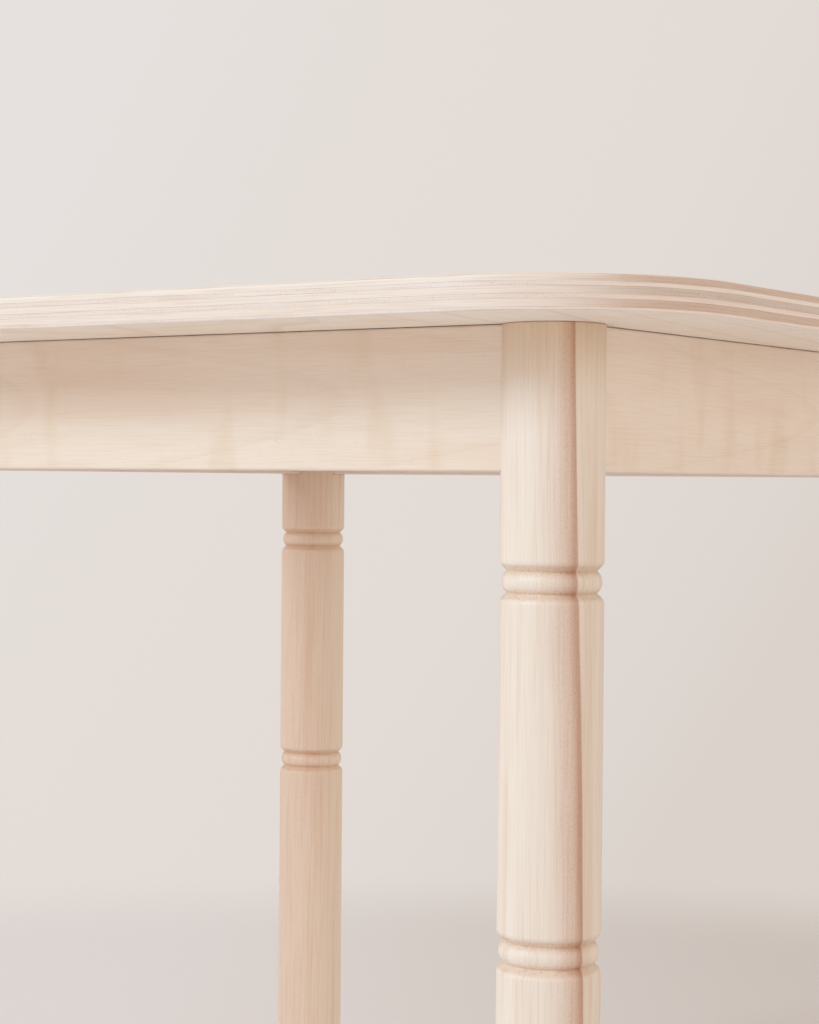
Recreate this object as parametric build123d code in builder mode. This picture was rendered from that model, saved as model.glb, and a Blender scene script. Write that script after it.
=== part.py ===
from build123d import *

import os
from math import radians, sqrt, tan

# A small square children's table: a rounded plywood top on four turned legs, with plywood aprons,
# corner blocks, hanger bolts, tabletop clips and nail-on glides.
#
# Millimetres, +Z up. The origin is on the floor under the middle of the top, the front faces -Y.
# Pieces that repeat at the corners are made in a corner frame: its origin is on the floor under
# the leg's axis, +X and +Y run inwards along the two aprons, and the diagonal between them points
# at the middle of the table. Pieces that repeat along the aprons are made in an apron frame: its
# origin is on the apron's inner face at mid length, level with the underside of the top, +X runs
# along the apron and +Y points at the middle of the table.

# ---- Driving dimensions -------------------------------------------------------------------------
table_height = 508.0

top_width = 609.6
top_depth = 609.6
top_thickness = 14.0
top_corner_radius = 76.2
top_upper_ease = 1.5
top_lower_ease = 0.8

leg_diameter = 41.5
leg_inset = 76.2  # edge of the top to the axis of the leg, both ways
leg_foot_chamfer = 2.5
leg_edge_ease = 0.8  # sanding of the top and foot of the leg
leg_shoulder_ease = 3.0  # rounding of the shoulder above and below each bead

upper_bead_depth = 101.6  # underside of the top to the middle of the bead
lower_bead_depth = 247.65
bead_length = 8.7  # groove to groove
bead_proud = 2.15  # how far the bead stands out of its grooves
groove_depth = 2.9
groove_mouth = 2.95  # height of the sloping shoulder outside each groove

apron_height = 58.2
apron_thickness = 18.0
apron_face_offset = 13.2  # axis of the leg to the outer face of the apron
apron_seat = 11.5  # axis of the leg to the end of the apron, which is housed in the leg
apron_edge_ease = 1.2
apron_drop = 0.2  # gap between the apron and the top
housing_clearance = 0.1  # round the end of the apron in the leg

kerf_depth = 8.0
kerf_width = 2.0
kerf_drop = 11.0  # underside of the top to the middle of the kerf

clip_thickness = 1.5
clip_width = 16.0
clip_bite = 6.5  # length of the tongue in the kerf
clip_face_clearance = 1.0
clip_tab_length = 19.0
clip_bend_radius = 1.0
clip_pitch = 210.0  # between the two clips on one apron
clip_hole_diameter = 4.5

block_gap = 3.0  # leg to corner block, which leaves the hanger bolt room to pull
block_thickness = 22.0
block_height = 46.0
block_edge_chamfer = 1.0

bolt_diameter = 8.0
bolt_bite = 28.0  # length in the leg
bolt_tail = 4.0  # length that shows past the nut
bolt_point_chamfer = 2.5
bolt_end_chamfer = 1.0
bolt_hole_diameter = 8.8

washer_diameter = 22.0
washer_thickness = 1.6
washer_hole_diameter = 8.4

nut_width = 13.0
nut_height = 6.5
nut_chamfer = 1.6  # measured across the face of the nut
nut_chamfer_angle = 30.0

clip_screw_diameter = 3.5
clip_screw_length = 10.5
clip_screw_head_diameter = 7.5
clip_screw_head_height = 2.6

block_screw_diameter = 4.0
block_screw_length = 21.0
block_screw_head_diameter = 8.0
block_screw_head_height = 2.6
block_screw_pitch = 26.0
block_screw_edge = 11.0  # back corner of the block to the screw, along the apron
block_screw_web = 7.0  # wood left under the screw's head

top_screw_diameter = 4.0
top_screw_length = 25.0
top_screw_bite = 9.5  # length in the top
top_screw_head_diameter = 8.0
top_screw_head_height = 2.6
top_screw_offset = 12.5  # each side of the hanger bolt

screw_point_length = 3.0
screw_tip_diameter = 0.6
recess_width = 1.4  # driver recess in the screw heads, a cross of two slots
recess_depth = 1.3
recess_margin = 1.6  # edge of the screw's head to the end of a slot
head_crown = 0.45  # share of the head's height that is rounded over
pocket_clearance = 0.75  # round a screw's head in its pocket
shank_clearance = 0.2  # round a screw in the piece that it clamps
thread_clearance = 0.05  # round a screw, nail or bolt in the piece that it bites
pilot_overrun = 0.5  # hole left beyond the point of a screw or nail

glide_diameter = 26.0
glide_height = 5.0
glide_edge_radius = 2.5
glide_recess_diameter = 9.0
nail_diameter = 2.6
nail_length = 15.0
nail_point_length = 3.0
nail_head_diameter = 8.0
nail_head_height = 1.2
nail_head_clearance = 0.6  # floor to the head of the nail

# ---- Sizes that follow --------------------------------------------------------------------------
underside = table_height - top_thickness
leg_radius = leg_diameter / 2
leg_x = top_width / 2 - leg_inset
leg_y = top_depth / 2 - leg_inset
groove_radius = leg_radius - groove_depth
bead_heights = [underside - lower_bead_depth, underside - upper_bead_depth]
bead_half_length = bead_length / 2
bead_reach = bead_half_length + groove_mouth

apron_inner_offset = apron_thickness - apron_face_offset  # axis of the leg to the inner face
apron_top = underside - apron_drop
apron_bottom = apron_top - apron_height
apron_end = apron_seat + housing_clearance

block_front = leg_radius + block_gap  # these five along the diagonal, from the axis of the leg
block_back = block_front + block_thickness
bolt_start = leg_radius - bolt_bite
nut_start = block_back + washer_thickness
bolt_end = nut_start + nut_height + bolt_tail
block_front_corner = sqrt(2) * block_front - apron_inner_offset  # these two along the apron
block_back_corner = sqrt(2) * block_back - apron_inner_offset
block_bottom = underside - block_height
bolt_height = underside - block_height / 2
block_screw_reach = block_back_corner - block_screw_edge
block_screw_heights = [bolt_height + side * block_screw_pitch / 2 for side in (-1, 1)]
top_screw_seat = underside + top_screw_bite - top_screw_length
nail_seat = nail_head_clearance + nail_head_height

tongue_top = kerf_width / 2 - kerf_drop  # in the apron frame
clip_hole_reach = clip_face_clearance + (clip_thickness + clip_tab_length) / 2

# The diagonal of the corner frame: z_dir points at the middle of the table.
diagonal = Plane(origin=(0, 0, bolt_height), x_dir=(1, -1, 0), z_dir=(1, 1, 0))
corner_frames = {
    "front_left": Location((-leg_x, -leg_y, 0), (0, 0, 0)),
    "front_right": Location((leg_x, -leg_y, 0), (0, 0, 90)),
    "back_right": Location((leg_x, leg_y, 0), (0, 0, 180)),
    "back_left": Location((-leg_x, leg_y, 0), (0, 0, 270)),
}
inner_x = leg_x - apron_inner_offset
inner_y = leg_y - apron_inner_offset
apron_frames = {
    "front": Location((0, -inner_y, underside), (0, 0, 0)),
    "right": Location((inner_x, 0, underside), (0, 0, 90)),
    "back": Location((0, inner_y, underside), (0, 0, 180)),
    "left": Location((-inner_x, 0, underside), (0, 0, 270)),
}
apron_spans = {
    "front": 2 * leg_x,
    "right": 2 * leg_y,
    "back": 2 * leg_x,
    "left": 2 * leg_y,
}

# Where the screws sit, head down or head in, as planes whose z_dir runs from point to head.
block_screw_planes = []
for height in block_screw_heights:
    along_x = (block_screw_reach, apron_inner_offset + block_screw_web, height)
    along_y = (apron_inner_offset + block_screw_web, block_screw_reach, height)
    block_screw_planes.append(Plane(origin=along_x, x_dir=(1, 0, 0), z_dir=(0, 1, 0)))
    block_screw_planes.append(Plane(origin=along_y, x_dir=(0, 1, 0), z_dir=(1, 0, 0)))

top_screw_planes = []
for side in (-1, 1):
    middle = (block_front + block_back) / 2 / sqrt(2)
    shift = side * top_screw_offset / sqrt(2)
    seat = (middle + shift, middle - shift, top_screw_seat)
    top_screw_planes.append(Plane(origin=seat, x_dir=(1, 1, 0), z_dir=(0, 0, -1)))

clip_screw_planes = []
for side in (-1, 1):
    seat = (side * clip_pitch / 2, clip_hole_reach, -clip_thickness)
    clip_screw_planes.append(Plane(origin=seat, x_dir=(1, 0, 0), z_dir=(0, 0, -1)))

os.makedirs("parts", exist_ok=True)


# ---- Helpers ------------------------------------------------------------------------------------
def save(part, name):
    """Label a finished piece and write it as its own file."""
    part.label = name
    export_step(part, f"parts/{name}.step")


def save_at_corners(part, name):
    """Write a piece made in the corner frame once for each corner of the table."""
    for corner, frame in corner_frames.items():
        with BuildPart() as placed:
            with Locations(frame):
                add(part)
        save(placed.part, f"{name}_{corner}")


def save_group(part, name, frames, planes):
    """Write copies of one piece, at each plane in each frame, as a group of separate solids."""
    with BuildPart() as group:
        for frame in frames.values():
            for plane in planes:
                with Locations(frame * plane.location):
                    add(part)
    save(group.part, name)


def drill(frame, plane, diameter, depth):
    """Drill from a seat towards the point of its screw, in the part that is being built."""
    with Locations(frame * plane.location):
        Hole(radius=diameter / 2, depth=depth)


def make_screw(diameter, length, head_diameter, head_height):
    """A pan-head wood screw: the head's seat at the origin, the head above and the point below."""
    with BuildPart() as screw:
        with BuildSketch(Plane.XZ) as half_section:
            with BuildLine():
                Polyline(
                    (0, -length),
                    (screw_tip_diameter / 2, -length),
                    (diameter / 2, screw_point_length - length),
                    (diameter / 2, 0),
                    (head_diameter / 2, 0),
                    (head_diameter / 2, head_height),
                    (0, head_height),
                    (0, -length),
                )
            make_face()
            rim = half_section.vertices().group_by(Axis.Y)[-1].sort_by(Axis.X)[-1]
            fillet(rim, radius=head_crown * head_height)
        revolve(axis=Axis.Z)
        with BuildSketch(Plane.XY.offset(head_height)):
            Rectangle(head_diameter - 2 * recess_margin, recess_width)
            Rectangle(recess_width, head_diameter - 2 * recess_margin)
        extrude(amount=-recess_depth, mode=Mode.SUBTRACT)
    return screw.part


# ---- Top ----------------------------------------------------------------------------------------
with BuildPart() as tabletop:
    with BuildSketch(Plane.XY.offset(underside)):
        RectangleRounded(top_width, top_depth, top_corner_radius)
    extrude(amount=top_thickness)
    fillet(tabletop.faces().sort_by(Axis.Z)[-1].edges(), radius=top_upper_ease)
    fillet(tabletop.faces().sort_by(Axis.Z)[0].edges(), radius=top_lower_ease)
    for frame in corner_frames.values():
        for plane in top_screw_planes:
            pilot = top_screw_diameter + 2 * thread_clearance
            drill(frame, plane, pilot, top_screw_length + pilot_overrun)
    for frame in apron_frames.values():
        for plane in clip_screw_planes:
            pilot = clip_screw_diameter + 2 * thread_clearance
            drill(frame, plane, pilot, clip_screw_length + pilot_overrun)
save(tabletop.part, "tabletop")

# ---- Legs ---------------------------------------------------------------------------------------
with BuildPart() as leg:
    with BuildSketch(Plane.XZ) as half_section:
        with BuildLine():
            Polyline(
                (0, glide_height),
                (leg_radius - leg_foot_chamfer, glide_height),
                (leg_radius, glide_height + leg_foot_chamfer),
            )
            plain_start = glide_height + leg_foot_chamfer
            for bead_height in bead_heights:
                Polyline(
                    (leg_radius, plain_start),
                    (leg_radius, bead_height - bead_reach),
                    (groove_radius, bead_height - bead_half_length),
                )
                ThreePointArc(
                    (groove_radius, bead_height - bead_half_length),
                    (groove_radius + bead_proud, bead_height),
                    (groove_radius, bead_height + bead_half_length),
                )
                Line(
                    (groove_radius, bead_height + bead_half_length),
                    (leg_radius, bead_height + bead_reach),
                )
                plain_start = bead_height + bead_reach
            Polyline(
                (leg_radius, plain_start),
                (leg_radius, underside),
                (0, underside),
                (0, glide_height),
            )
        make_face()
        shoulders = half_section.vertices().group_by(Axis.X)[-1].sort_by(Axis.Y)[1:-1]
        fillet(shoulders, radius=leg_shoulder_ease)
        outer_corners = half_section.vertices().group_by(Axis.X)[-1].sort_by(Axis.Y)
        fillet([outer_corners[0], outer_corners[-1]], radius=leg_edge_ease)
    revolve(axis=Axis.Z)
    # Housings for the ends of the two aprons, open at the top of the leg.
    housing_width = apron_thickness + 2 * housing_clearance
    housing_middle = (apron_inner_offset - apron_face_offset) / 2
    with BuildSketch(Plane.XY.offset(apron_bottom - housing_clearance)):
        with Locations((apron_seat, housing_middle)):
            Rectangle(leg_diameter, housing_width, align=(Align.MIN, Align.CENTER))
        with Locations((housing_middle, apron_seat)):
            Rectangle(housing_width, leg_diameter, align=(Align.CENTER, Align.MIN))
    extrude(amount=underside - apron_bottom + 2 * housing_clearance, mode=Mode.SUBTRACT)
    with BuildSketch(diagonal.offset(bolt_start)):
        Circle(bolt_diameter / 2 + thread_clearance)
    extrude(amount=bolt_bite, mode=Mode.SUBTRACT)
    with BuildSketch(Plane.XY.offset(glide_height)):
        Circle(nail_diameter / 2 + thread_clearance)
    nail_reach = nail_seat + nail_length - glide_height
    extrude(amount=nail_reach + pilot_overrun, mode=Mode.SUBTRACT)
save_at_corners(leg.part, "leg")

# ---- Aprons -------------------------------------------------------------------------------------
for side_name, frame in apron_frames.items():
    apron_length = apron_spans[side_name] - 2 * apron_end
    with BuildPart() as apron:
        with Locations(frame * Location((0, 0, -apron_drop))):
            Box(
                apron_length,
                apron_thickness,
                apron_height,
                align=(Align.CENTER, Align.MAX, Align.MAX),
            )
        long_edges = apron.edges().filter_by(lambda edge: abs(edge.length - apron_length) < 0.01)
        fillet(long_edges, radius=apron_edge_ease)
        with Locations(frame * Location((0, 0, -kerf_drop))):
            Box(
                apron_length,
                kerf_depth,
                kerf_width,
                align=(Align.CENTER, Align.MAX, Align.CENTER),
                mode=Mode.SUBTRACT,
            )
        for corner_frame in corner_frames.values():
            for plane in block_screw_planes:
                pilot = block_screw_diameter + 2 * thread_clearance
                drill(corner_frame, plane, pilot, block_screw_length + pilot_overrun)
    save(apron.part, f"apron_{side_name}")

# ---- Corner blocks ------------------------------------------------------------------------------
with BuildPart() as corner_block:
    with BuildSketch(Plane.XY.offset(block_bottom)):
        with BuildLine():
            Polyline(
                (block_front_corner, apron_inner_offset),
                (block_back_corner, apron_inner_offset),
                (apron_inner_offset, block_back_corner),
                (apron_inner_offset, block_front_corner),
                close=True,
            )
        make_face()
    extrude(amount=block_height)
    chamfer(corner_block.faces().sort_by(Axis.Z)[0].edges(), length=block_edge_chamfer)
    with BuildSketch(diagonal.offset(block_front)):
        Circle(bolt_hole_diameter / 2)
    extrude(amount=block_thickness, mode=Mode.SUBTRACT)
    for plane in block_screw_planes:
        with Locations(plane.location):
            Hole(radius=block_screw_diameter / 2 + shank_clearance, depth=block_screw_web)
        with BuildSketch(plane):
            Circle(block_screw_head_diameter / 2 + pocket_clearance)
        extrude(amount=block_back_corner, mode=Mode.SUBTRACT)
    for plane in top_screw_planes:
        with Locations(plane.location):
            Hole(radius=top_screw_diameter / 2 + shank_clearance, depth=top_screw_length)
        with BuildSketch(plane):
            Circle(top_screw_head_diameter / 2 + pocket_clearance)
        extrude(amount=top_screw_seat - block_bottom, mode=Mode.SUBTRACT)
save_at_corners(corner_block.part, "corner_block")

# ---- Hanger bolts, washers and nuts -------------------------------------------------------------
with BuildPart() as hanger_bolt:
    with BuildSketch(diagonal.offset(bolt_start)):
        Circle(bolt_diameter / 2)
    extrude(amount=bolt_end - bolt_start)
    ends = hanger_bolt.edges().filter_by(GeomType.CIRCLE).sort_by(Axis((0, 0, 0), (1, 1, 0)))
    chamfer(ends[0], length=bolt_point_chamfer)
    chamfer(ends[-1], length=bolt_end_chamfer)
save_group(hanger_bolt.part, "hanger_bolts", corner_frames, [Plane.XY])

with BuildPart() as washer:
    with BuildSketch(diagonal.offset(block_back)):
        Circle(washer_diameter / 2)
        Circle(washer_hole_diameter / 2, mode=Mode.SUBTRACT)
    extrude(amount=washer_thickness)
save_group(washer.part, "bolt_washers", corner_frames, [Plane.XY])

with BuildPart() as nut:
    with BuildSketch(diagonal.offset(nut_start)):
        Circle(nut_width / sqrt(3))
    extrude(amount=nut_height)
    outer_rim = nut.edges().sort_by(Axis((0, 0, 0), (1, 1, 0)))[-1]
    outer_face = nut.faces().sort_by(Axis((0, 0, 0), (1, 1, 0)))[-1]
    rise = nut_chamfer * tan(radians(nut_chamfer_angle))
    chamfer(outer_rim, length=nut_chamfer, length2=rise, reference=outer_face)
    with BuildSketch(diagonal.offset(nut_start)):
        RegularPolygon(nut_width / 2, side_count=6, major_radius=False)
        Circle(bolt_diameter / 2 + thread_clearance, mode=Mode.SUBTRACT)
    extrude(amount=nut_height, mode=Mode.INTERSECT)
save_group(nut.part, "bolt_nuts", corner_frames, [Plane.XY])

# ---- Screws in the corner blocks ----------------------------------------------------------------
block_screw = make_screw(
    block_screw_diameter,
    block_screw_length,
    block_screw_head_diameter,
    block_screw_head_height,
)
save_group(block_screw, "block_screws", corner_frames, block_screw_planes)

top_screw = make_screw(
    top_screw_diameter,
    top_screw_length,
    top_screw_head_diameter,
    top_screw_head_height,
)
save_group(top_screw, "top_screws", corner_frames, top_screw_planes)

# ---- Tabletop clips and their screws ------------------------------------------------------------
with BuildPart() as clip:
    with BuildSketch(Plane.YZ):
        riser = clip_face_clearance + clip_thickness / 2
        tongue = tongue_top - clip_thickness / 2
        with BuildLine():
            FilletPolyline(
                (-clip_bite, tongue),
                (riser, tongue),
                (riser, -clip_thickness / 2),
                (clip_face_clearance + clip_tab_length, -clip_thickness / 2),
                radius=clip_bend_radius + clip_thickness / 2,
            )
        trace(line_width=clip_thickness)
    extrude(amount=clip_width / 2, both=True)
    with Locations((0, clip_hole_reach, 0)):
        Hole(radius=clip_hole_diameter / 2)
clip_planes = [Plane.XY.move(Location((side * clip_pitch / 2, 0, 0))) for side in (-1, 1)]
save_group(clip.part, "tabletop_clips", apron_frames, clip_planes)

clip_screw = make_screw(
    clip_screw_diameter,
    clip_screw_length,
    clip_screw_head_diameter,
    clip_screw_head_height,
)
save_group(clip_screw, "clip_screws", apron_frames, clip_screw_planes)

# ---- Glides and their nails ---------------------------------------------------------------------
with BuildPart() as glide:
    with BuildSketch(Plane.XY):
        Circle(glide_diameter / 2)
    extrude(amount=glide_height)
    fillet(glide.faces().sort_by(Axis.Z)[0].edges(), radius=glide_edge_radius)
    with BuildSketch(Plane.XY):
        Circle(glide_recess_diameter / 2)
    extrude(amount=nail_seat, mode=Mode.SUBTRACT)
    with Locations((0, 0, glide_height)):
        Hole(radius=nail_diameter / 2 + thread_clearance, depth=glide_height)
save_at_corners(glide.part, "glide")

with BuildPart() as nail:
    with BuildSketch(Plane.XZ):
        with BuildLine():
            Polyline(
                (0, nail_head_clearance),
                (nail_head_diameter / 2, nail_head_clearance),
                (nail_head_diameter / 2, nail_seat),
                (nail_diameter / 2, nail_seat),
                (nail_diameter / 2, nail_seat + nail_length - nail_point_length),
                (0, nail_seat + nail_length),
                close=True,
            )
        make_face()
    revolve(axis=Axis.Z)
save_group(nail.part, "glide_nails", corner_frames, [Plane.XY])
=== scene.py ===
"""A small square children's table in turned birch and birch plywood, on a plain pale floor.

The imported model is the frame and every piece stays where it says. Lengths are metres, except where
a name ends in _mm. The front of the table faces -Y.
"""

import logging
import math
from dataclasses import dataclass, field
from enum import Enum

import bmesh
import bpy
from mathutils import Euler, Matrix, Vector


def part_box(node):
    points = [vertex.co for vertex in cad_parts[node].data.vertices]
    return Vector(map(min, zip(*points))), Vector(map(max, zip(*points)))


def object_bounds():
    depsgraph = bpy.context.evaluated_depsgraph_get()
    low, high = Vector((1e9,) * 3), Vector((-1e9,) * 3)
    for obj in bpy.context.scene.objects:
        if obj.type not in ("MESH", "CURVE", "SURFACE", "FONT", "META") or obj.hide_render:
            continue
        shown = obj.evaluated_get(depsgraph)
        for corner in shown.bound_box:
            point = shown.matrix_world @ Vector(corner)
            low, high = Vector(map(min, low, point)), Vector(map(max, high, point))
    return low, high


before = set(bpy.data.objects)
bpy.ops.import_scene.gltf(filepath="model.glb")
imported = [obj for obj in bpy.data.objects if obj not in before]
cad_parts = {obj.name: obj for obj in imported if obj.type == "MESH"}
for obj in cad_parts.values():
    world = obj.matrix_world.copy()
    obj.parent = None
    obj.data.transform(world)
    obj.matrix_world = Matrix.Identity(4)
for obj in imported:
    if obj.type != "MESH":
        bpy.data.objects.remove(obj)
cad_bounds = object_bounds()

LOG = logging.getLogger("table")
MM = 0.001
CORNERS = ("front_left", "front_right", "back_left", "back_right")
SIDES = ("front", "right", "back", "left")

Tree = bpy.types.NodeTree
Socket = bpy.types.NodeSocket
Stops = list[tuple[float, float | str]] | tuple[tuple[float, float | str], ...]

# A noise seldom leaves this range.
NOISE_LOW = 0.3
NOISE_HIGH = 0.7

# Seeds of the first piece of each kind, and the step from one piece to the next.
TOP_SEED = 4.0
APRON_SEED, APRON_SEED_STEP = 31.0, 7.0
LEG_SEED, LEG_SEED_STEP = 61.0, 5.0
BLOCK_SEED = 20.0

# Where the outer edge of the heartwood lies on its colour ramp, which runs from 0 to 1.
HEART_EDGE = 0.8

# Settings of a colour mix that stains one colour with another.
STAIN = {"data_type": "RGBA", "blend_type": "MULTIPLY"}
COLOUR_MIX = {"data_type": "RGBA"}
SMOOTH = {"interpolation_type": "SMOOTHSTEP"}


class Axis(Enum):
    """The way that a board is piled up, or that its grain runs."""

    X = 0
    Y = 1
    Z = 2

    def unit(self) -> Vector:
        """Gives the unit vector along the axis."""
        return Vector([1.0 if i == self.value else 0.0 for i in range(3)])

    def turn(self) -> Euler:
        """Gives the turn that brings Z to this axis."""
        quarter = math.pi / 2
        return (Euler((0, quarter, 0)), Euler((-quarter, 0, 0)), Euler((0, 0, 0)))[self.value]


# ---- Nodes and colours --------------------------------------------------------------------------
def linear(hex_colour: str) -> tuple[float, float, float, float]:
    """Turns an sRGB hex colour to a linear one.

    Args:
        hex_colour: Six hex digits after a hash.

    Returns:
        Linear red, green and blue, and an alpha of 1.
    """
    parts = [int(hex_colour[i : i + 2], 16) / 255 for i in (1, 3, 5)]
    return (*[p / 12.92 if p <= 0.04045 else ((p + 0.055) / 1.055) ** 2.4 for p in parts], 1.0)


def add(
    tree: Tree,
    kind: str,
    inputs: dict | None = None,
    out: int | str = 0,
    stops: Stops | None = None,
    **settings,
) -> Socket:
    """Adds a node with its settings, its values and its links.

    Args:
        tree: The node tree that it joins.
        kind: Blender's name for the node's type.
        inputs: Input name or number to a value, or to the output socket that feeds it.
        out: Which of its outputs to give back.
        stops: For a colour ramp, pairs of position and either a hex colour or a grey from 0 to 1.
        **settings: The node's own properties. `blend` is a colour ramp's interpolation.

    Returns:
        The output socket, or None from a node that has none.
    """
    made = tree.nodes.new(kind)
    if stops:
        made.color_ramp.interpolation = settings.pop("blend", "LINEAR")
        while len(made.color_ramp.elements) < len(stops):
            made.color_ramp.elements.new(0.5)
        for element, (position, colour) in zip(made.color_ramp.elements, stops):
            element.position = position
            element.color = linear(colour) if isinstance(colour, str) else (colour, colour, colour, 1.0)
    for name, value in settings.items():
        setattr(made, name, value)
    for key, value in (inputs or {}).items():
        if isinstance(value, Socket):
            tree.links.new(value, made.inputs[key])
        else:
            made.inputs[key].default_value = value
    return made.outputs[out] if len(made.outputs) else None


def start_material(name: str) -> tuple[bpy.types.Material, Tree]:
    """Starts an empty node material.

    Args:
        name: The real material and how its surface was made.

    Returns:
        The material and its node tree.
    """
    material = bpy.data.materials.new(name)
    material.use_nodes = True
    material.node_tree.nodes.clear()
    return material, material.node_tree


def finish_material(tree: Tree, inputs: dict) -> None:
    """Ends a material with one Principled shader.

    Args:
        tree: The material's node tree.
        inputs: The shader's values and links.
    """
    shader = add(tree, "ShaderNodeBsdfPrincipled", inputs, out="BSDF")
    add(tree, "ShaderNodeOutputMaterial", {"Surface": shader})


def grain_space(tree: Tree, origin: Vector, grain: Axis, turn: float = 0.0) -> Socket:
    """Gives the place on a piece in millimetres, in a frame whose Z runs with the grain.

    Args:
        tree: The material's node tree.
        origin: Where the frame's origin is, in metres.
        grain: The way that the grain runs.
        turn: How far an upright frame is turned about its Z, in radians.

    Returns:
        A vector socket.
    """
    place = add(tree, "ShaderNodeTexCoord", out="Object")
    facing = Euler((0, 0, turn)) if grain is Axis.Z else grain.turn()
    inputs = {"Vector": place, "Location": origin, "Rotation": facing, "Scale": (MM, MM, MM)}
    return add(tree, "ShaderNodeMapping", inputs, vector_type="TEXTURE")


@dataclass(frozen=True)
class Marking:
    """One kind of mark in a surface: soft-edged spots of one tint, drawn out along the grain."""

    tint: str
    across_mm: float
    along_mm: float
    starts: float = 0.42  # the noise level where it begins to show; the mean is 0.5
    full: float = 0.72  # the noise level where it shows fully
    detail: float = 2.0
    roughness: float = 0.55

    def noise(self, tree: Tree, place: Socket, seed: float) -> Socket:
        """Adds the noise behind the mark.

        Args:
            tree: The material's node tree.
            place: A grain-space socket.
            seed: Which noise, so that two pieces never match.

        Returns:
            A grey from 0 to 1.
        """
        scale = (1 / self.across_mm, 1 / self.across_mm, 1 / self.along_mm)
        inputs = {"Vector": place, "Scale": scale, "Location": (seed, seed / 2, seed / 3)}
        scaled = add(tree, "ShaderNodeMapping", inputs)
        inputs = {"Vector": scaled, "Scale": 1.0, "Detail": self.detail, "Roughness": self.roughness}
        return add(tree, "ShaderNodeTexNoise", inputs)

    def amount(self, tree: Tree, place: Socket, seed: float, where: Socket | None = None) -> Socket:
        """Gives how strongly the mark shows.

        Args:
            tree: The material's node tree.
            place: A grain-space socket.
            seed: Which noise.
            where: A mask that holds it to one region.

        Returns:
            A grey from 0 to 1.
        """
        noise = self.noise(tree, place, seed)
        shown = add(tree, "ShaderNodeMapRange", {0: noise, 1: self.starts, 2: self.full}, **SMOOTH)
        if where is None:
            return shown
        return add(tree, "ShaderNodeMath", {0: shown, 1: where}, operation="MULTIPLY")

    def over(
        self, tree: Tree, colour: Socket, place: Socket, seed: float, where: Socket | None = None
    ) -> Socket:
        """Lays the mark over a colour.

        Args:
            tree: The material's node tree.
            colour: The colour below it.
            place: A grain-space socket.
            seed: Which noise.
            where: A mask that holds it to one region.

        Returns:
            The marked colour.
        """
        inputs = {0: self.amount(tree, place, seed, where), 6: colour, 7: linear(self.tint)}
        return add(tree, "ShaderNodeMix", inputs, out=2, **STAIN)


# ---- Finishes -----------------------------------------------------------------------------------
@dataclass(frozen=True)
class Veneer:
    """The face of a rotary-peeled birch veneer under a thin matt oil: nearly plain, very pale.

    The growth layers show as a few long pointed curves. Between them are clouds, the bars of a
    curly grain, fine fibres and a few dark flecks.
    """

    nose_mm: tuple[float, float] = (0.0, 0.0)  # where the curves' points line up, across the grain
    sapwood: str = "#F3E5D7"
    growth_line: str = "#F0E1D2"
    line_every_mm: float = 120.0
    curve_width_mm: float = 30.0
    wander_lines: float = 1.2  # how many lines' spacing a curve may wander
    wander: Marking = Marking("#FFFFFF", 55.0, 300.0, detail=0.0)
    clouds: Marking = Marking("#FBF5F0", 26.0, 260.0, 0.42, 0.75)
    curl: Marking = Marking("#FAF6F0", 50.0, 15.0, 0.5, 0.78, 1.5)
    # Fibres are 0.03 mm wide: drawn coarser, so that they show.
    fibre: Marking = Marking("#FBF8F5", 0.7, 26.0)
    fleck: Marking = Marking("#EFE3DA", 0.45, 1.4, 0.83, 0.9, 0.0)

    def colour(self, tree: Tree, place: Socket, seed: float) -> Socket:
        """Builds the veneer's colour.

        Args:
            tree: The material's node tree.
            place: A grain-space socket.
            seed: Which sheet of veneer it is.

        Returns:
            A colour socket.
        """
        from_nose = {0: place, 1: (*self.nose_mm, 0.0)}
        away = add(tree, "ShaderNodeVectorMath", from_nose, operation="SUBTRACT")
        parts = add(tree, "ShaderNodeSeparateXYZ", {0: away}).node.outputs
        flat = add(tree, "ShaderNodeCombineXYZ", {0: parts[0], 1: parts[1]})
        squares = {0: flat, 1: flat}
        squared = add(tree, "ShaderNodeVectorMath", squares, out="Value", operation="DOT_PRODUCT")
        inputs = {0: squared, 1: 1 / self.curve_width_mm**2, 2: seed / 3}
        bend = add(tree, "ShaderNodeMath", inputs, operation="MULTIPLY_ADD")
        inputs = {0: parts[2], 1: 1 / self.line_every_mm, 2: bend}
        layers = add(tree, "ShaderNodeMath", inputs, operation="MULTIPLY_ADD")
        wander = self.wander.noise(tree, place, seed + 1)
        inputs = {0: wander, 1: self.wander_lines, 2: layers}
        layers = add(tree, "ShaderNodeMath", inputs, operation="MULTIPLY_ADD")
        ring = add(tree, "ShaderNodeMath", {0: layers}, operation="FRACT")
        # Each layer darkens slowly to its line, and ends sharply.
        stops = [(0.0, self.sapwood), (0.86, self.sapwood), (0.97, self.growth_line), (1.0, self.sapwood)]
        colour = add(tree, "ShaderNodeValToRGB", {0: ring}, stops=stops)
        for number, marking in enumerate((self.clouds, self.curl, self.fibre, self.fleck)):
            colour = marking.over(tree, colour, place, seed + 3 + number)
        return colour


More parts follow.
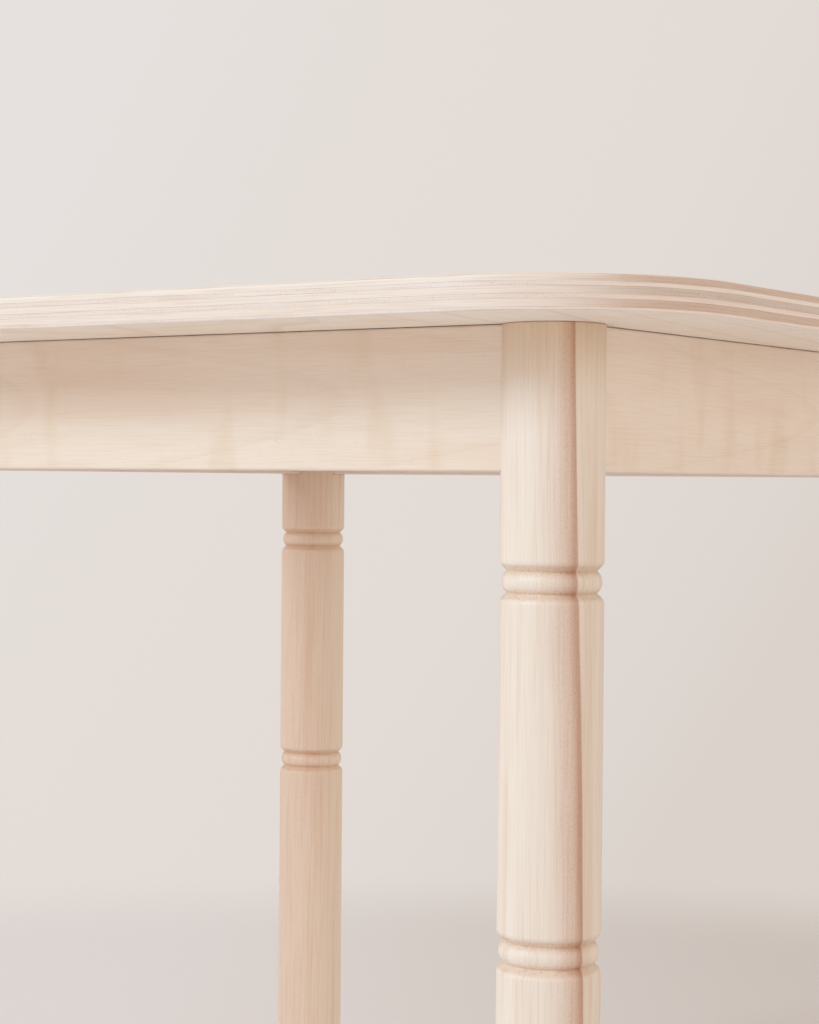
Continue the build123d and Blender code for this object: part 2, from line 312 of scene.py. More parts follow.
@dataclass(frozen=True)
class BirchPlywood:
    """A birch plywood board: peeled veneers glued crosswise, with sanded, open edges.

    The even layers run across the faces. Where a layer shows its end grain it is darker, and where
    it shows its long grain it is pale, so the stripes change over at a rounded corner.
    """

    name: str
    layers_mm: tuple[float, ...]  # from the first face to the last
    stacked: Axis
    face_grain: Axis
    low: Vector
    high: Vector
    seed: float
    face: Veneer = field(default_factory=Veneer)
    strip_mm: float = 203.0  # width of the veneer strips in the inner layers
    strip_start_mm: float = 0.0
    swelling_mm: float = 0.12  # how far a layer wanders from a ruled line
    swelling_every_mm: float = 22.0
    glue_mm: float = 0.24  # twice a real glue line, so that it shows
    long_grain: str = "#F3E7DC"
    end_grain_even: str = "#DAC5B5"
    end_grain_middle: str = "#DACBBF"
    end_grain_odd: str = "#F1E6DF"
    glue_line: str = "#E0D0C5"
    strip_tint: str = "#FCF8F6"
    streak: Marking = Marking("#F3EBE6", 0.4, 26.0, 0.42, 0.75, 3.0)
    pores: Marking = Marking("#EFE7E0", 0.45, 0.45, 0.5, 0.75, 1.0)
    grit: Marking = Marking("#FFFFFF", 0.5, 14.0, detail=1.0)
    roughness: tuple[float, float] = (0.46, 0.56)
    relief_mm: float = 0.05
    relief_strength: float = 0.12

    def by_layer(self, tree: Tree, height: Socket, values: list) -> Socket:
        """Gives each layer its own value.

        Args:
            tree: The material's node tree.
            height: Place in the pile, from 0 to 1.
            values: A grey or a hex colour for each layer.

        Returns:
            A colour socket.
        """
        total = sum(self.layers_mm)
        starts = [sum(self.layers_mm[:i]) / total for i in range(len(self.layers_mm))]
        stops = list(zip(starts, values))
        return add(tree, "ShaderNodeValToRGB", {0: height}, stops=stops, blend="CONSTANT")

    def height(self, tree: Tree, board: Socket, place: Socket) -> Socket:
        """Gives the place in the pile, from 0 to 1, with the layers a little swollen and pinched.

        Args:
            tree: The material's node tree.
            board: The place on the board.
            place: The part of it that runs through the pile.

        Returns:
            A value socket.
        """
        inputs = {"Vector": board, "Scale": 1 / self.swelling_every_mm, "Detail": 2.0}
        swell = add(tree, "ShaderNodeTexNoise", inputs)
        inputs = {0: swell, 1: 0.2, 2: 0.8, 3: -self.swelling_mm, 4: self.swelling_mm}
        shift = add(tree, "ShaderNodeMapRange", inputs)
        raised = add(tree, "ShaderNodeMath", {0: place, 1: shift}, operation="ADD")
        return add(tree, "ShaderNodeMath", {0: raised, 1: sum(self.layers_mm)}, operation="DIVIDE")

    def strip_tone(self, tree: Tree, strip: Socket, height: Socket) -> Socket:
        """Gives each veneer strip its own tone, so that strips meet in straight joints.

        Args:
            tree: The material's node tree.
            strip: The place across the strips, in millimetres.
            height: Place in the pile, from 0 to 1.

        Returns:
            A grey from 0 to 1.
        """
        count = len(self.layers_mm)
        layer = self.by_layer(tree, height, [i / count for i in range(count)])
        inputs = {0: strip, 1: 1 / self.strip_mm, 2: -self.strip_start_mm / self.strip_mm}
        number = add(tree, "ShaderNodeMath", inputs, operation="MULTIPLY_ADD")
        number = add(tree, "ShaderNodeMath", {0: number}, operation="FLOOR")
        key = add(tree, "ShaderNodeCombineXYZ", {0: number, 1: layer, 2: self.seed})
        return add(tree, "ShaderNodeTexWhiteNoise", {"Vector": key}, noise_dimensions="3D")

    def glue(self, tree: Tree, height: Socket) -> Socket:
        """Gives where the glue lines are.

        Args:
            tree: The material's node tree.
            height: Place in the pile, from 0 to 1.

        Returns:
            A grey from 0 to 1.
        """
        total = sum(self.layers_mm)
        half = self.glue_mm / 2 / total
        stops = []
        for number in range(1, len(self.layers_mm)):
            joint = sum(self.layers_mm[:number]) / total
            stops += [(joint - half, 0.0), (joint, 1.0), (joint + half, 0.0)]
        return add(tree, "ShaderNodeValToRGB", {0: height}, stops=stops)

    def edge_colour(self, tree: Tree, facing: list[Socket]) -> Socket:
        """Builds the colour of the sawn and sanded edges.

        Args:
            tree: The material's node tree.
            facing: The three parts of the surface normal.

        Returns:
            A colour socket.
        """
        cross_grain = next(axis for axis in Axis if axis not in (self.stacked, self.face_grain))
        first_face = self.stacked.unit() * self.low[self.stacked.value]
        board = grain_space(tree, first_face, Axis.Z)
        parts = add(tree, "ShaderNodeSeparateXYZ", {0: board}).node.outputs
        count = len(self.layers_mm)
        height = self.height(tree, board, parts[self.stacked.value])

        even = self.by_layer(tree, height, [float(i % 2) for i in range(count)])
        ends = [self.end_grain_even if i % 2 else self.end_grain_odd for i in range(count)]
        ends[count // 2] = self.end_grain_middle
        squares = [
            add(tree, "ShaderNodeMath", {0: part, 1: part}, operation="MULTIPLY")
            for part in (facing[self.face_grain.value], facing[cross_grain.value])
        ]
        cut_across = add(tree, "ShaderNodeMix", {0: even, 2: squares[0], 3: squares[1]})
        cut_across = add(tree, "ShaderNodeMapRange", {0: cut_across, 1: 0.12, 2: 0.88}, **SMOOTH)
        inputs = {0: cut_across, 6: linear(self.long_grain), 7: self.by_layer(tree, height, ends)}
        colour = add(tree, "ShaderNodeMix", inputs, out=2, **COLOUR_MIX)

        inputs = {0: even, 2: parts[cross_grain.value], 3: parts[self.face_grain.value]}
        strip = add(tree, "ShaderNodeMix", inputs)
        inputs = {0: self.strip_tone(tree, strip, height), 6: colour, 7: linear(self.strip_tint)}
        colour = add(tree, "ShaderNodeMix", inputs, out=2, **STAIN)

        # Long fine streaks in each layer, and open pores where the grain is cut across.
        streak = self.streak
        size = (streak.along_mm, streak.along_mm, streak.across_mm)
        inputs = {"Vector": board, "Rotation": self.stacked.turn(), "Scale": size}
        drawn_out = add(tree, "ShaderNodeMapping", inputs, vector_type="TEXTURE")
        inputs = {"Vector": drawn_out, "Scale": 1.0, "Detail": streak.detail}
        noise = add(tree, "ShaderNodeTexNoise", inputs)
        shown = add(tree, "ShaderNodeMapRange", {0: noise, 1: streak.starts, 2: streak.full}, **SMOOTH)
        inputs = {0: shown, 6: colour, 7: linear(streak.tint)}
        colour = add(tree, "ShaderNodeMix", inputs, out=2, **STAIN)
        colour = self.pores.over(tree, colour, board, self.seed, cut_across)
        inputs = {0: self.glue(tree, height), 6: colour, 7: linear(self.glue_line)}
        return add(tree, "ShaderNodeMix", inputs, out=2, **STAIN)

    def material(self) -> bpy.types.Material:
        """Builds the board's material: veneer on its two faces and layers on its edges."""
        material, tree = start_material(self.name)
        normal = add(tree, "ShaderNodeNewGeometry", out="Normal")
        facing = add(tree, "ShaderNodeSeparateXYZ", {0: normal}).node.outputs
        place = grain_space(tree, (self.low + self.high) / 2, self.face_grain)
        flat = add(tree, "ShaderNodeMath", {0: facing[self.stacked.value]}, operation="ABSOLUTE")
        # The eased edges belong to the layers, up to where they turn into the faces.
        on_face = add(tree, "ShaderNodeMapRange", {0: flat, 1: 0.9, 2: 0.985}, **SMOOTH)
        veneer = self.face.colour(tree, place, self.seed)
        inputs = {0: on_face, 6: self.edge_colour(tree, facing), 7: veneer}
        colour = add(tree, "ShaderNodeMix", inputs, out=2, **COLOUR_MIX)
        grit = self.grit.noise(tree, place, self.seed + 17)
        low, high = self.roughness
        roughness = add(tree, "ShaderNodeMapRange", {0: grit, 1: NOISE_LOW, 2: NOISE_HIGH, 3: low, 4: high})
        inputs = {"Height": grit, "Strength": self.relief_strength, "Distance": self.relief_mm * MM}
        sanded = add(tree, "ShaderNodeBump", inputs)
        finish_material(tree, {"Base Color": colour, "Roughness": roughness, "IOR": 1.5, "Normal": sanded})
        return material


@dataclass(frozen=True)
class TurnedBirch:
    """Solid birch, turned and sanded, with a band of red heartwood down one side.

    The growth rings are cylinders round a pith outside the leg, so they run as fine lines down the
    leg, and follow its beads and grooves as cut wood does.
    """

    name: str
    foot: Vector  # foot of the leg's axis
    turn: float  # which way the blank was held, in radians
    seed: float
    heart_edge_mm: float = 102.6  # distance from the pith to where the heartwood stops
    pith_mm: tuple[float, float] = (-86.5, -52.9)
    lean: float = 0.0252  # how far the trunk leaned across the leg, for each length up it
    plumb_mm: float = 418.6  # the height where the pith is where pith_mm says
    heart_width_mm: float = 12.6
    narrows_mm: float = 6.5  # how much narrower the heartwood is at the top of the leg
    narrows_from_mm: float = 380.0
    top_mm: float = 494.0
    start_wander_mm: float = 2.5
    edge_wander_mm: float = 0.5
    ring_mm: float = 2.3
    tone: str = "#FFFFFF"  # this blank against the others; on the back left leg, partly the blank's own tone and partly painted shade
    painted_shade_under_top: str = "#F3E8D8"  # painted shade: darker and tanner towards the end under the tabletop, where the top shades the leg
    painted_shade_under_top_mm: float = 34.0
    sapwood: str = "#F4E8DC"
    sapwood_tan: str = "#EEE2D4"
    heart_pale: str = "#F0E0D4"
    heart: str = "#E6CFC0"
    heart_dark: str = "#D0AC98"
    ring_tint: str = "#FAF7F4"
    cut_tint: str = "#F6EDE6"
    slow: Marking = Marking("#FFFFFF", 60.0, 130.0)
    patches: Marking = Marking("#FFFFFF", 3.0, 120.0, 0.35, 0.7)
    broad: Marking = Marking("#F8F0EA", 6.0, 150.0, 0.45, 0.75)
    # Fibres and vessels are 0.03 to 0.1 mm wide: drawn coarser, so that they show.
    fibre: Marking = Marking("#F8F4F0", 0.5, 38.0)
    dash: Marking = Marking("#F1E7E0", 0.32, 0.9, 0.46, 0.72, 1.0)
    pits: Marking = Marking("#BF9F89", 0.45, 0.6, 0.73, 0.8, 0.0)
    roughness: tuple[float, float] = (0.44, 0.54)
    relief_mm: float = 0.06
    relief_strength: float = 0.15

    def from_pith(self, tree: Tree, place: Socket) -> Socket:
        """Gives the distance from the pith, in millimetres.

        Args:
            tree: The material's node tree.
            place: A grain-space socket.

        Returns:
            A value socket.
        """
        parts = add(tree, "ShaderNodeSeparateXYZ", {0: place}).node.outputs
        inputs = {0: parts[2], 1: self.lean, 2: -self.pith_mm[0] - self.lean * self.plumb_mm}
        lean = add(tree, "ShaderNodeMath", inputs, operation="MULTIPLY_ADD")
        x = add(tree, "ShaderNodeMath", {0: parts[0], 1: lean}, operation="ADD")
        y = add(tree, "ShaderNodeMath", {0: parts[1], 1: -self.pith_mm[1]}, operation="ADD")
        flat = add(tree, "ShaderNodeCombineXYZ", {0: x, 1: y})
        radius = add(tree, "ShaderNodeVectorMath", {0: flat}, out="Value", operation="LENGTH")
        reach = self.edge_wander_mm
        noise = self.slow.noise(tree, place, self.seed)
        inputs = {0: noise, 1: NOISE_LOW, 2: NOISE_HIGH, 3: -reach, 4: reach}
        wander = add(tree, "ShaderNodeMapRange", inputs)
        return add(tree, "ShaderNodeMath", {0: radius, 1: wander}, operation="ADD")

    def into_heart(self, tree: Tree, place: Socket, height: Socket, radius: Socket) -> Socket:
        """Gives the way through the heartwood: 0 where it fades in, HEART_EDGE at its sharp edge.

        Args:
            tree: The material's node tree.
            place: A grain-space socket.
            height: Height up the leg, in millimetres.
            radius: Distance from the pith, in millimetres.

        Returns:
            A value socket.
        """
        inner, reach = self.heart_edge_mm - self.heart_width_mm, self.start_wander_mm
        inputs = {0: height, 1: self.narrows_from_mm, 2: self.top_mm, 3: inner, 4: inner + self.narrows_mm}
        middle = add(tree, "ShaderNodeMapRange", inputs)
        noise = self.slow.noise(tree, place, self.seed + 9)
        inputs = {0: noise, 1: 0.35, 2: 0.65, 3: -reach, 4: reach}
        wander = add(tree, "ShaderNodeMapRange", inputs)
        start = add(tree, "ShaderNodeMath", {0: middle, 1: wander}, operation="ADD")
        inputs = {0: radius, 1: start, 2: self.heart_edge_mm, 3: 0.0, 4: HEART_EDGE}
        return add(tree, "ShaderNodeMapRange", inputs, clamp=False)

    def grain_colour(self, tree: Tree, place: Socket, height: Socket) -> Socket:
        """Builds the wood's colour: heartwood, growth rings, and the marks along the grain.

        Args:
            tree: The material's node tree.
            place: A grain-space socket.
            height: Height up the leg, in millimetres.

        Returns:
            A colour socket.
        """
        radius = self.from_pith(tree, place)
        into = self.into_heart(tree, place, height, radius)
        stops = [
            (0.0, self.sapwood),
            (0.2, self.heart_pale),
            (0.55, self.heart),
            (0.72, self.heart_dark),
            (HEART_EDGE - 0.01, self.heart_dark),
            (HEART_EDGE + 0.015, self.sapwood_tan),
        ]
        colour = add(tree, "ShaderNodeValToRGB", {0: into}, stops=stops)
        stops = [
            (0.0, 0.15),
            (0.4, 0.7),
            (HEART_EDGE - 0.01, 1.0),
            (HEART_EDGE + 0.015, 0.25),
            (1.0, 0.15),
        ]
        hearty = add(tree, "ShaderNodeValToRGB", {0: into}, stops=stops)

        # Each ring darkens slowly to its line, and ends sharply.
        count = add(tree, "ShaderNodeMath", {0: radius, 1: self.ring_mm}, operation="DIVIDE")
        ring = add(tree, "ShaderNodeMath", {0: count}, operation="FRACT")
        stops = [(0.0, 0.0), (0.55, 0.1), (0.9, 1.0), (1.0, 0.0)]
        line = add(tree, "ShaderNodeValToRGB", {0: ring}, stops=stops)
        shown = self.patches.amount(tree, place, self.seed + 1, line)
        inputs = {0: shown, 6: colour, 7: linear(self.ring_tint)}
        colour = add(tree, "ShaderNodeMix", inputs, out=2, **STAIN)
        colour = self.broad.over(tree, colour, place, self.seed + 2)
        colour = self.fibre.over(tree, colour, place, self.seed + 3)
        return self.dash.over(tree, colour, place, self.seed + 4, hearty)

    def cut_marks(self, tree: Tree, colour: Socket, place: Socket) -> Socket:
        """Darkens the wood where the tool cut across the grain, and adds small torn pits there.

        Args:
            tree: The material's node tree.
            colour: The wood's colour.
            place: A grain-space socket.

        Returns:
            A colour socket.
        """
        normal = add(tree, "ShaderNodeNewGeometry", out="Normal")
        up = add(tree, "ShaderNodeSeparateXYZ", {0: normal}, out="Z")
        squared = add(tree, "ShaderNodeMath", {0: up, 1: up}, operation="MULTIPLY")
        cut_across = add(tree, "ShaderNodeMapRange", {0: squared, 1: 0.02, 2: 0.6}, **SMOOTH)
        inputs = {0: cut_across, 6: colour, 7: linear(self.cut_tint)}
        colour = add(tree, "ShaderNodeMix", inputs, out=2, **STAIN)
        return self.pits.over(tree, colour, place, self.seed + 5, cut_across)

    def material(self) -> bpy.types.Material:
        """Builds the leg's material."""
        material, tree = start_material(self.name)
        place = grain_space(tree, self.foot, Axis.Z, self.turn)
        height = add(tree, "ShaderNodeSeparateXYZ", {0: place}, out="Z")
        colour = self.grain_colour(tree, place, height)
        colour = self.cut_marks(tree, colour, place)
        # The blank's tone against the others; on the back left leg it is partly painted shade.
        colour = add(tree, "ShaderNodeMix", {0: 1.0, 6: colour, 7: linear(self.tone)}, out=2, **STAIN)
        # Painted shade: the wood is tinted darker and tanner just under the tabletop, where the top shades
        # the leg.
        inputs = {0: height, 1: self.top_mm - self.painted_shade_under_top_mm, 2: self.top_mm}
        painted_shade_amount = add(tree, "ShaderNodeMapRange", inputs, **SMOOTH)
        inputs = {0: painted_shade_amount, 6: colour, 7: linear(self.painted_shade_under_top)}
        colour = add(tree, "ShaderNodeMix", inputs, out=2, **STAIN)

        grit = self.fibre.noise(tree, place, self.seed + 6)
        low, high = self.roughness
        roughness = add(tree, "ShaderNodeMapRange", {0: grit, 1: NOISE_LOW, 2: NOISE_HIGH, 3: low, 4: high})
        inputs = {"Height": grit, "Strength": self.relief_strength, "Distance": self.relief_mm * MM}
        sanded = add(tree, "ShaderNodeBump", inputs)
        finish_material(tree, {"Base Color": colour, "Roughness": roughness, "IOR": 1.5, "Normal": sanded})
        return material


@dataclass(frozen=True)
class PlanedBeech:
    """Bare planed beech: a pinkish tan with short dark flecks all one way."""

    name: str
    origin: Vector
    grain: Axis
    seed: float
    ground: str = "#DDBFA3"
    line: str = "#CFA988"
    broad: Marking = Marking("#FFFFFF", 4.0, 90.0)
    fleck: Marking = Marking("#B58C6B", 0.45, 3.0, 0.62, 0.75, 0.0)
    sawn: Marking = Marking("#FFFFFF", 0.6, 20.0)
    roughness: tuple[float, float] = (0.55, 0.68)
    relief_mm: float = 0.1
    relief_strength: float = 0.25

    def material(self) -> bpy.types.Material:
        """Builds the block's material."""
        material, tree = start_material(self.name)
        place = grain_space(tree, self.origin, self.grain)
        broad = self.broad.noise(tree, place, self.seed)
        stops = [(0.35, self.ground), (0.52, self.line), (0.7, self.ground)]
        colour = add(tree, "ShaderNodeValToRGB", {0: broad}, stops=stops)
        colour = self.fleck.over(tree, colour, place, self.seed + 1)
        grit = self.sawn.noise(tree, place, self.seed + 2)
        low, high = self.roughness
        roughness = add(tree, "ShaderNodeMapRange", {0: grit, 1: NOISE_LOW, 2: NOISE_HIGH, 3: low, 4: high})
        inputs = {"Height": grit, "Strength": self.relief_strength, "Distance": self.relief_mm * MM}
        planed = add(tree, "ShaderNodeBump", inputs)
        finish_material(tree, {"Base Color": colour, "Roughness": roughness, "IOR": 1.5, "Normal": planed})
        return material


@dataclass(frozen=True)
class ZincPlate:
    """Steel with bright zinc plate: bluish grey, half dull, with the mottle of the bath."""

    name: str = "steel_zinc_plated"
    bright: str = "#D5D8DA"
    dull: str = "#B4B8BC"
    mottle: Marking = Marking("#FFFFFF", 1.6, 1.6, detail=3.0)
    seed: float = 2.0
    roughness: tuple[float, float] = (0.26, 0.44)

    def material(self) -> bpy.types.Material:
        """Builds the metal's material."""
        material, tree = start_material(self.name)
        place = grain_space(tree, Vector((0, 0, 0)), Axis.Z)
        mottle = self.mottle.noise(tree, place, self.seed)
        colour = add(tree, "ShaderNodeValToRGB", {0: mottle}, stops=[(0.35, self.bright), (0.7, self.dull)])
        low, high = self.roughness
        inputs = {0: mottle, 1: NOISE_LOW, 2: NOISE_HIGH, 3: low, 4: high}
        roughness = add(tree, "ShaderNodeMapRange", inputs)
        finish_material(tree, {"Base Color": colour, "Roughness": roughness, "Metallic": 1.0})
        return material


@dataclass(frozen=True)
class MouldedNylon:
    """Off-white moulded nylon: a soft sheen, with a fine spark-eroded texture from the tool."""

    name: str = "nylon_moulded"
    ground: str = "#DAD5C8"
    worn: str = "#C6BFB0"
    wear: Marking = Marking("#FFFFFF", 6.0, 2.0)
    # The real texture is 0.05 mm fine: drawn coarser, so that it shows.
    texture: Marking = Marking("#FFFFFF", 0.25, 0.25, detail=1.0)
    seed: float = 5.0
    roughness: tuple[float, float] = (0.38, 0.5)
    relief_mm: float = 0.03
    relief_strength: float = 0.1

    def material(self) -> bpy.types.Material:
        """Builds the glide's material."""
        material, tree = start_material(self.name)
        place = grain_space(tree, Vector((0, 0, 0)), Axis.Z)
        wear = self.wear.noise(tree, place, self.seed)
        colour = add(tree, "ShaderNodeValToRGB", {0: wear}, stops=[(0.4, self.ground), (0.75, self.worn)])
        texture = self.texture.noise(tree, place, self.seed + 1)
        low, high = self.roughness
        inputs = {0: texture, 1: NOISE_LOW, 2: NOISE_HIGH, 3: low, 4: high}
        roughness = add(tree, "ShaderNodeMapRange", inputs)
        inputs = {"Height": texture, "Strength": self.relief_strength, "Distance": self.relief_mm * MM}
        eroded = add(tree, "ShaderNodeBump", inputs)
        finish_material(tree, {"Base Color": colour, "Roughness": roughness, "IOR": 1.53, "Normal": eroded})
        return material


@dataclass(frozen=True)
class PaleFloor:
    """A smooth pale painted floor, with painted shade darkening it towards the back right, which fades out
    so that no far edge shows.
    """

    name: str = "floor_pale_paint_rolled"
    bright: str = "#EBE6E5"
    dim: str = "#D9D1CB"
    fade_start: float = 0.95
    fade_end: float = 1.35
    painted_shade_towards: tuple[float, float, float] = (0.83, 0.56, 0.0)  # the way that the painted shade deepens
    painted_shade_from: float = -0.3
    painted_shade_to: float = 0.45

    def material(self) -> bpy.types.Material:
        """Builds the floor's material."""
        material, tree = start_material(self.name)
        place = add(tree, "ShaderNodeTexCoord", out="Object")
        away = add(tree, "ShaderNodeVectorMath", {0: place}, out="Value", operation="LENGTH")
        fade = add(tree, "ShaderNodeMapRange", {0: away, 1: self.fade_start, 2: self.fade_end}, **SMOOTH)
        # Painted shade: the colour darkens towards the back right, where the room's light falls off.
        inputs = {0: place, 1: self.painted_shade_towards}
        side = add(tree, "ShaderNodeVectorMath", inputs, out="Value", operation="DOT_PRODUCT")
        side = add(tree, "ShaderNodeMapRange", {0: side, 1: self.painted_shade_from, 2: self.painted_shade_to}, **SMOOTH)
        colour = add(tree, "ShaderNodeValToRGB", {0: side}, stops=[(0.0, self.bright), (1.0, self.dim)])
        inputs = {"Base Color": colour, "Roughness": 0.8}
        painted = add(tree, "ShaderNodeBsdfPrincipled", inputs, out="BSDF")
        clear = add(tree, "ShaderNodeBsdfTransparent")
        mixed = add(tree, "ShaderNodeMixShader", {0: fade, 1: painted, 2: clear})
        add(tree, "ShaderNodeOutputMaterial", {"Surface": mixed})
        return material


def dress(node_name: str, material: bpy.types.Material) -> None:
    """Gives a CAD node its finish.

    Args:
        node_name: The node's name.
        material: Its finish.
    """
    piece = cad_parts[node_name]
    for held in piece.material_slots:
        held.material = material
    LOG.info("%s dressed in %s", node_name, material.name)


# ---- The table ----------------------------------------------------------------------------------
@dataclass
class Tabletop:
    """The rounded top: one board of seven layers."""

    layers_mm: tuple[float, ...] = (1.4, 3.0, 1.9, 2.9, 1.75, 2.45, 0.6)  # from the underside up
    strip_start_mm: float = -278.6
    face: Veneer = Veneer(
        (40.0, 0.0), "#FFF8F0", "#F6EADF", line_every_mm=150.0, curve_width_mm=110.0,
        clouds=Marking("#FDFAF6", 60.0, 500.0, 0.42, 0.75),
    )

    def dress(self) -> None:
        """Dresses the top in plywood."""
        low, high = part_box("tabletop")
        board = BirchPlywood(
            "birch_plywood_top_sanded", self.layers_mm, Axis.Z, Axis.Y, low, high, TOP_SEED,
            face=self.face, strip_start_mm=self.strip_start_mm,
        )
        dress("tabletop", board.material())


@dataclass
class Apron:
    """One board between two legs."""

    side: str
    seed: float
    layers_mm: tuple[float, ...] = (1.2, 2.0, 2.2, 2.4, 2.4, 2.4, 2.2, 2.0, 1.2)

    def dress(self) -> None:
        """Dresses the apron in plywood, with the grain along it."""
        low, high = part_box(f"apron_{self.side}")
        across = self.side in ("front", "back")
        stacked, grain = (Axis.Y, Axis.X) if across else (Axis.X, Axis.Y)
        board = BirchPlywood(
            f"birch_plywood_apron_{self.side}_oiled", self.layers_mm, stacked, grain, low, high, self.seed,
        )
        dress(f"apron_{self.side}", board.material())


@dataclass(frozen=True)
class Blank:
    """The square blank that a leg was turned from, and how it was held."""

    turn_deg: float
    heart_edge_mm: float
    heart_width_mm: float
    tone: str


BLANKS = {
    "front_left": Blank(160.0, 150.0, 11.6, "#FAF4EF"),
    "front_right": Blank(30.757, 102.6, 12.6, "#FFFFFF"),
    # Painted shade on the back left leg: its darker tone and the wide heartwood turned to its left side
    # darken the side that the key lamp lights. They stand in for the shade that the leg is in.
    "back_left": Blank(210.757, 135.0, 40.0, "#FFF8EF"),
    "back_right": Blank(300.0, 116.0, 11.6, "#FCF8F5"),
}


@dataclass
class Leg:
    """One round leg."""

    corner: str
    seed: float

    def axis(self) -> Vector:
        """Gives the foot of the leg's axis."""
        low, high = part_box(f"leg_{self.corner}")
        return Vector(((low.x + high.x) / 2, (low.y + high.y) / 2, 0.0))

    def dress(self) -> None:
        """Dresses the leg in turned birch."""
        name = f"birch_turned_leg_{self.corner}"
        blank = BLANKS[self.corner]
        wood = TurnedBirch(
            name, self.axis(), math.radians(blank.turn_deg), self.seed, blank.heart_edge_mm,
            heart_width_mm=blank.heart_width_mm, tone=blank.tone,
        )
        dress(f"leg_{self.corner}", wood.material())


@dataclass
class CornerJoinery:
    """The blocks in the corners, with the bolts, nuts, washers and screws that go through them."""

    hardware: tuple[str, ...] = (
        "hanger_bolts", "bolt_washers", "bolt_nuts", "block_screws", "top_screws", "clip_screws",
        "tabletop_clips", "glide_nails",
    )

    def dress(self) -> None:
        """Dresses the blocks in beech and the metal in zinc."""
        for number, corner in enumerate(CORNERS):
            name = f"corner_block_{corner}"
            low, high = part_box(name)
            wood = PlanedBeech(f"beech_planed_{corner}", (low + high) / 2, Axis.Z, BLOCK_SEED + number)
            dress(name, wood.material())
        zinc = ZincPlate().material()
        for name in self.hardware:
            dress(name, zinc)
        nylon = MouldedNylon().material()
        for corner in CORNERS:
            dress(f"glide_{corner}", nylon)


# ---- Floor, light and camera --------------------------------------------------------------------
@dataclass(frozen=True)
class Softbox:
    """A square lamp with a soft edge, aimed between the table's middle and its front right corner."""

    name: str
    azimuth_deg: float  # from the front, towards the left
    elevation_deg: float
    size: float
    power: float
    colour: str
    distance: float = 4.0
    aim: tuple[float, float, float] = (0.5, 0.5, 0.8)  # shares of the way right, to the front, and up

    def build(self) -> None:
        """Hangs the lamp."""
        data = bpy.data.lights.new(self.name, "AREA")
        data.shape = "SQUARE"
        data.size = self.size
        data.energy = self.power
        data.color = linear(self.colour)[:3]
        lamp = bpy.data.objects.new(self.name, data)
        azimuth, elevation = math.radians(self.azimuth_deg), math.radians(self.elevation_deg)
        flat = math.cos(elevation)
        way = Vector((-math.sin(azimuth) * flat, -math.cos(azimuth) * flat, math.sin(elevation)))
        corner = (cad_bounds[1].x, cad_bounds[0].y, cad_bounds[1].z)
        target = Vector([share * reach for share, reach in zip(self.aim, corner)])
        lamp.location = target + way * self.distance
        lamp.rotation_euler = way.to_track_quat("Z", "Y").to_euler()
        lamp.visible_camera = False
        bpy.context.scene.collection.objects.link(lamp)


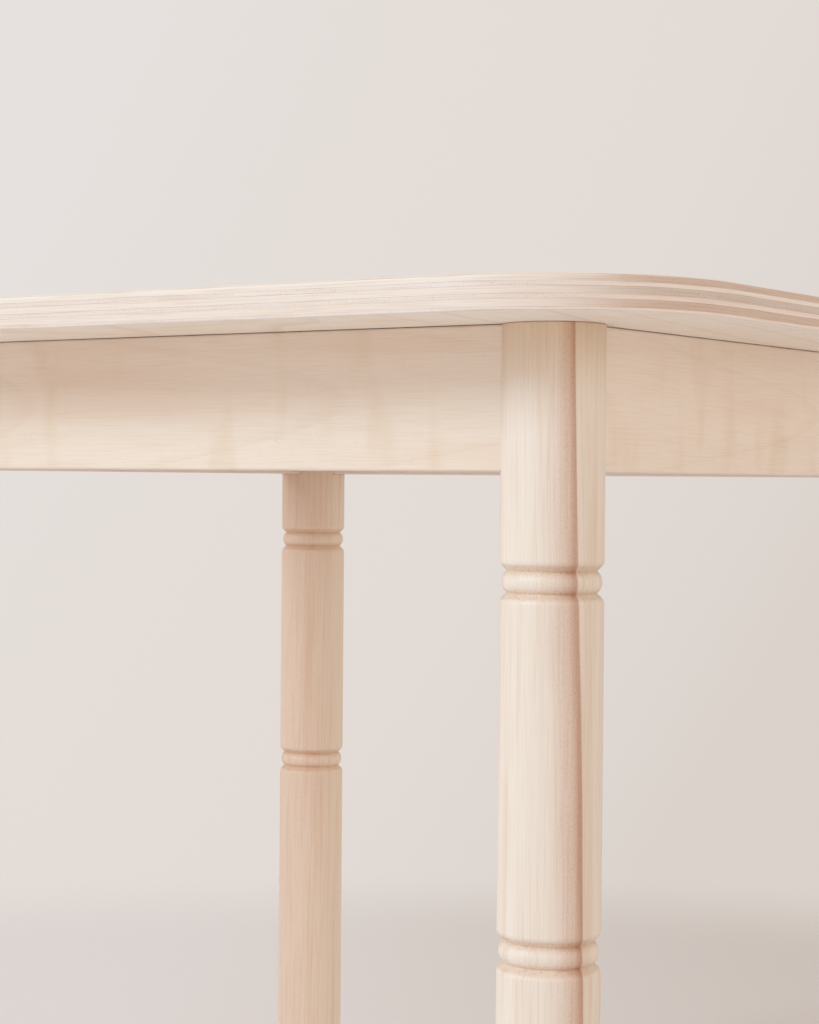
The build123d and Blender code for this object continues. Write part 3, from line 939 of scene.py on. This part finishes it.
@dataclass
class Studio:
    """A pale floor that fades into a pale room, a cool key lamp, a warm fill lamp, and the camera."""

    floor_radius: float = 1.5
    floor_sides: int = 96
    lamps: tuple[Softbox, ...] = (
        Softbox("key", 29.0, 26.0, 1.15, 66.0, "#DCF3FF"),
        Softbox("fill", -93.0, 8.0, 3.0, 26.0, "#FFF5EA"),
    )
    camera_place: tuple[float, float, float] = (0.7019, -1.0243, 0.4320)
    camera_azimuth_deg: float = 34.243
    camera_drop_deg: float = 0.778
    camera_roll_deg: float = 0.472
    lens_mm: float = 82.24
    sensor_mm: float = 36.0
    clip_start: float = 0.05
    room_leans: tuple[float, float, float] = (0.5, 0.0, -0.24)  # the way that the room gets dimmer
    room_stops: tuple[tuple[float, str], ...] = (
        (0.13, "#E6E1DE"),
        (0.18, "#E4DDD8"),
        (0.24, "#E3DBD6"),
        (0.285, "#DED6D0"),
        (0.305, "#DAD2CB"),
        (0.36, "#DBD2CB"),
    )

    def build_floor(self) -> None:
        """Lays a round floor whose edge fades into the room."""
        mesh = bpy.data.meshes.new("floor")
        shape = bmesh.new()
        bmesh.ops.create_circle(
            shape, cap_ends=True, segments=self.floor_sides, radius=self.floor_radius
        )
        shape.to_mesh(mesh)
        shape.free()
        mesh.materials.append(PaleFloor().material())
        floor = bpy.data.objects.new("floor", mesh)
        bpy.context.scene.collection.objects.link(floor)

    def build_room(self) -> None:
        """Fills the room with soft light, warmer and dimmer towards the right and the floor."""
        world = bpy.data.worlds.new("room")
        world.use_nodes = True
        tree = world.node_tree
        tree.nodes.clear()
        way = add(tree, "ShaderNodeTexCoord", out="Generated")
        inputs = {0: way, 1: self.room_leans}
        side = add(tree, "ShaderNodeVectorMath", inputs, out="Value", operation="DOT_PRODUCT")
        side = add(tree, "ShaderNodeMath", {0: side, 1: 0.5}, operation="ADD")
        colour = add(tree, "ShaderNodeValToRGB", {0: side}, stops=self.room_stops)
        glow = add(tree, "ShaderNodeBackground", {"Color": colour, "Strength": 1.0})
        add(tree, "ShaderNodeOutputWorld", {"Surface": glow})
        bpy.context.scene.world = world

    def build_camera(self) -> None:
        """Places the camera close to one corner, level with the foot of the aprons."""
        data = bpy.data.cameras.new("camera")
        data.lens = self.lens_mm
        data.sensor_width = self.sensor_mm
        data.clip_start = self.clip_start
        camera = bpy.data.objects.new("camera", data)
        azimuth, drop = math.radians(self.camera_azimuth_deg), math.radians(self.camera_drop_deg)
        flat = math.cos(drop)
        ahead = Vector((-math.sin(azimuth) * flat, math.cos(azimuth) * flat, -math.sin(drop)))
        level = ahead.to_track_quat("-Z", "Y")
        roll = Euler((0, 0, math.radians(self.camera_roll_deg))).to_quaternion()
        camera.rotation_mode = "QUATERNION"
        camera.rotation_quaternion = level @ roll
        camera.location = self.camera_place
        bpy.context.scene.collection.objects.link(camera)
        bpy.context.scene.camera = camera

    def build(self) -> None:
        """Builds the whole studio."""
        self.build_floor()
        self.build_room()
        for lamp in self.lamps:
            lamp.build()
        self.build_camera()
        view = bpy.context.scene.view_settings
        view.view_transform = "Standard"
        view.look = "None"


def main() -> None:
    """Builds the studio and dresses the table, piece by piece."""
    logging.basicConfig(level=logging.INFO, format="%(name)s: %(message)s")
    Studio().build()
    Tabletop().dress()
    for number, side in enumerate(SIDES):
        Apron(side, APRON_SEED + APRON_SEED_STEP * number).dress()
    for number, corner in enumerate(CORNERS):
        Leg(corner, LEG_SEED + LEG_SEED_STEP * number).dress()
    CornerJoinery().dress()


if __name__ == "__main__":
    main()
